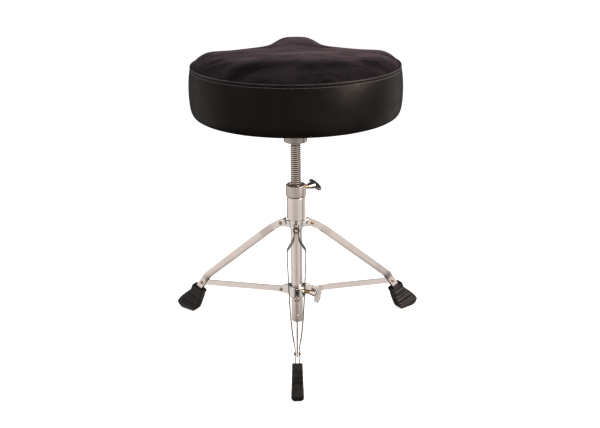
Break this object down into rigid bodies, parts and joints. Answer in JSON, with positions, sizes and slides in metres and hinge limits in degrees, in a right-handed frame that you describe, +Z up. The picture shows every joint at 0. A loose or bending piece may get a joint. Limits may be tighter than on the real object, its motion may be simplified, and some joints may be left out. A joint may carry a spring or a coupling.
{
  "type": "drum throne",
  "caption": "Drummer's saddle stool: padded seat with nose and thigh hollows on a threaded height spindle over a folding braced three-legged base with rubber feet.",
  "frame": {"origin": "on the floor below the middle of the whole object, legs open", "axes": "+Z up; the seat's rounded back and leg 1 point to -Y, the seat's nose points to +Y"},
  "size_m": [0.5102, 0.5112, 0.5696],
  "materials": {
    "chrome": "polished chrome plate on steel",
    "cast_chrome": "chrome plate on a casting, slightly soft",
    "bracket_steel": "chrome plate on pressed steel",
    "brushed_collar": "brushed up and down, plated",
    "zinc_steel": "zinc plate, satin",
    "thread_steel": "plated steel with rolled thread",
    "rivet_brass": "darkened rivet heads",
    "stud_brass": "yellow passivated thread",
    "rubber": "moulded, satin",
    "plywood": "raw plywood",
    "foam": "open-cell upholstery foam",
    "velour": "dense short-pile velour",
    "vinyl": "black upholstery vinyl, semi-gloss",
    "piping": "vinyl-covered cord",
    "dust_cloth": "black woven dust cloth"
  },
  "bodies": {
    "base": {"column_tube": "chrome", "column_housing": "chrome", "height_nut": "stud_brass", "housing_grub_screw": "zinc_steel", "lock_collar": "brushed_collar", "upper_hub": "cast_chrome"},
    "brace_hub": {"lower_hub": "cast_chrome", "strut_1_inner_rivet": "rivet_brass", "strut_2_inner_rivet": "rivet_brass", "strut_3_inner_rivet": "rivet_brass"},
    "leg_1": {"leg_1_strip_left": "chrome", "leg_1_strip_right": "chrome", "leg_1_upper_rivet": "rivet_brass", "leg_1_lower_rivet_left": "rivet_brass", "leg_1_lower_rivet_right": "rivet_brass", "rubber_foot_1": "rubber"},
    "brace_strut_1": {"strut_1": "chrome"},
    "leg_2": {"leg_2_strip_left": "chrome", "leg_2_strip_right": "chrome", "leg_2_upper_rivet": "rivet_brass", "leg_2_lower_rivet_left": "rivet_brass", "leg_2_lower_rivet_right": "rivet_brass", "rubber_foot_2": "rubber"},
    "brace_strut_2": {"strut_2": "chrome"},
    "leg_3": {"leg_3_strip_left": "chrome", "leg_3_strip_right": "chrome", "leg_3_upper_rivet": "rivet_brass", "leg_3_lower_rivet_left": "rivet_brass", "leg_3_lower_rivet_right": "rivet_brass", "rubber_foot_3": "rubber"},
    "brace_strut_3": {"strut_3": "chrome"},
    "height_spindle": {"spindle": "thread_steel"},
    "seat": {"seat_base_board": "plywood", "seat_foam": "foam", "seat_side_cover": "vinyl", "seat_top_cover": "velour", "seat_piping": "piping", "seat_under_cover": "dust_cloth", "seat_bracket": "bracket_steel", "bracket_screw_1": "zinc_steel", "bracket_screw_2": "zinc_steel", "bracket_screw_3": "zinc_steel", "bracket_screw_4": "zinc_steel", "tee_nut_1": "zinc_steel", "tee_nut_2": "zinc_steel", "tee_nut_3": "zinc_steel", "tee_nut_4": "zinc_steel"},
    "collar_bolt_stud": {"collar_stud": "stud_brass"},
    "collar_bolt_wing": {"collar_wing": "cast_chrome"},
    "hub_bolt_stud": {"hub_stud": "stud_brass"},
    "hub_bolt_wing": {"hub_wing": "cast_chrome"},
    "seat_clamp_bolt_stud": {"seat_clamp_stud": "stud_brass"},
    "seat_clamp_bolt_wing": {"seat_clamp_wing": "cast_chrome"}
  },
  "joints": [
    {"name": "leg_1_fold", "type": "hinge", "parent": "base", "child": "leg_1", "pos_m": [0, 0.0006, 0.232], "axis": [1, 0, 0], "range_deg": [0, 46]},
    {"name": "leg_2_fold", "type": "hinge", "parent": "base", "child": "leg_2", "pos_m": [0.02858, 0.0501, 0.232], "axis": [-0.5, 0.866, 0], "range_deg": [0, 46]},
    {"name": "leg_3_fold", "type": "hinge", "parent": "base", "child": "leg_3", "pos_m": [-0.02858, 0.0501, 0.232], "axis": [-0.5, -0.866, 0], "range_deg": [0, 46]},
    {"name": "brace_hub_slide", "type": "slide", "parent": "base", "child": "brace_hub", "axis": [0, 0, 1], "range_m": [0, 0.0806]},
    {"name": "strut_1_fold", "type": "hinge", "parent": "brace_hub", "child": "brace_strut_1", "pos_m": [0, -0.0004, 0.0922], "axis": [1, 0, 0], "range_deg": [0, 78.2]},
    {"name": "strut_2_fold", "type": "hinge", "parent": "brace_hub", "child": "brace_strut_2", "pos_m": [0.02944, 0.0506, 0.0922], "axis": [-0.5, 0.866, 0], "range_deg": [0, 78.2]},
    {"name": "strut_3_fold", "type": "hinge", "parent": "brace_hub", "child": "brace_strut_3", "pos_m": [-0.02944, 0.0506, 0.0922], "axis": [-0.5, -0.866, 0], "range_deg": [0, 78.2]},
    {"name": "seat_turn", "type": "hinge", "parent": "height_spindle", "child": "seat", "pos_m": [0, 0.0336, 0.45], "axis": [0, 0, 1], "range_deg": [-5400, 5760]},
    {"name": "spindle_lift", "type": "slide", "parent": "base", "child": "height_spindle", "axis": [0, 0, 1], "range_m": [-0.06, 0.064]},
    {"name": "collar_bolt_advance", "type": "slide", "parent": "base", "child": "collar_bolt_stud", "axis": [0.8192, 0.5736, 0], "range_m": [0, 0.0025]},
    {"name": "collar_bolt_turn", "type": "hinge", "parent": "collar_bolt_stud", "child": "collar_bolt_wing", "pos_m": [0, 0.0336, 0.3055], "axis": [0.8192, 0.5736, 0], "range_deg": [0, 720]},
    {"name": "hub_bolt_advance", "type": "slide", "parent": "brace_hub", "child": "hub_bolt_stud", "axis": [0.866, -0.5, 0], "range_m": [0, 0.0025]},
    {"name": "hub_bolt_turn", "type": "hinge", "parent": "hub_bolt_stud", "child": "hub_bolt_wing", "pos_m": [0, 0.0336, 0.097], "axis": [0.866, -0.5, 0], "range_deg": [0, 720]},
    {"name": "seat_clamp_bolt_advance", "type": "slide", "parent": "seat", "child": "seat_clamp_bolt_stud", "axis": [0, 1, 0], "range_m": [0, 0.0025]},
    {"name": "seat_clamp_bolt_turn", "type": "hinge", "parent": "seat_clamp_bolt_stud", "child": "seat_clamp_bolt_wing", "pos_m": [0, 0.0336, 0.4145], "axis": [0, 1, 0], "range_deg": [0, 720]}
  ],
  "couplings": [
    {"joint": "leg_2_fold", "follows": "leg_1_fold", "ratio": 1},
    {"joint": "leg_3_fold", "follows": "leg_1_fold", "ratio": 1},
    {"joint": "brace_hub_slide", "follows": "leg_1_fold", "m_per_rad": 0.10034},
    {"joint": "strut_1_fold", "follows": "leg_1_fold", "ratio": 1.6992},
    {"joint": "strut_2_fold", "follows": "leg_1_fold", "ratio": 1.6992},
    {"joint": "strut_3_fold", "follows": "leg_1_fold", "ratio": 1.6992},
    {"joint": "spindle_lift", "follows": "seat_turn", "m_per_rad": 0.00063662},
    {"joint": "collar_bolt_turn", "follows": "collar_bolt_advance", "rad_per_m": 5026.5},
    {"joint": "hub_bolt_turn", "follows": "hub_bolt_advance", "rad_per_m": 5026.5},
    {"joint": "seat_clamp_bolt_turn", "follows": "seat_clamp_bolt_advance", "rad_per_m": 5026.5}
  ]
}
